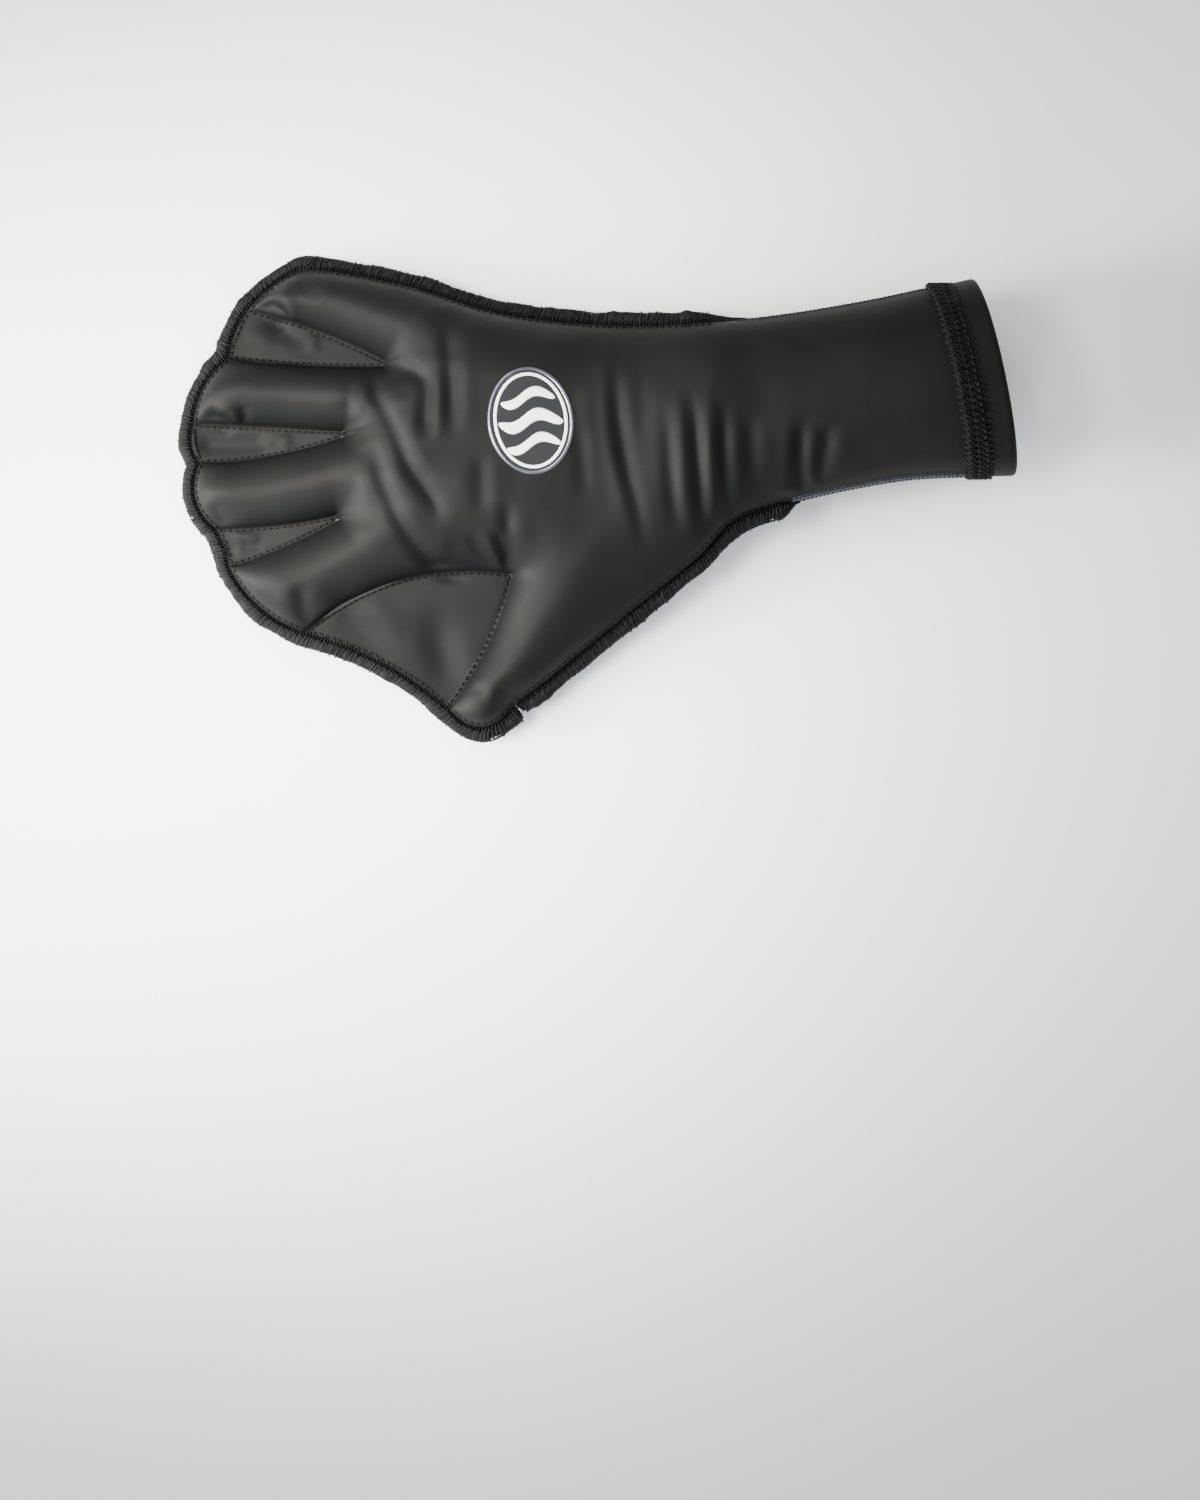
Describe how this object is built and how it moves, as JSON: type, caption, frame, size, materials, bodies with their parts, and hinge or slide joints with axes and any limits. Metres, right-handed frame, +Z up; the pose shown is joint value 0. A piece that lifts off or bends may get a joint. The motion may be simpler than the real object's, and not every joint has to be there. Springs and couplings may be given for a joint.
{
  "type": "webbed swim glove",
  "caption": "Closed-finger swim glove of smooth neoprene with flat webs between the fingers, overlocked edges, a coverstitched cuff hem and an oval badge, lying palm down",
  "frame": {"origin": "under the middle of the glove's bounding box, on the surface that it lies on", "axes": "+X runs from the fingertips to the cuff, +Y from the thumb to the little finger, +Z up, out of the back of the hand"},
  "size_m": [0.304, 0.177, 0.0499],
  "materials": {
    "neoprene": "smooth skin neoprene, satin",
    "thread": "matt polyester thread",
    "seam_cloth": "matt seam cloth",
    "badge_film": "gloss film"
  },
  "bodies": {
    "root": {"back_panel": "neoprene", "palm_panel": "neoprene", "hand_overlock": "thread", "thumb_overlock": "thread", "little_side_cuff_seam": "seam_cloth", "thumb_side_cuff_seam": "seam_cloth", "hem_coverstitch": "thread", "back_badge": "badge_film"}
  },
  "joints": []
}
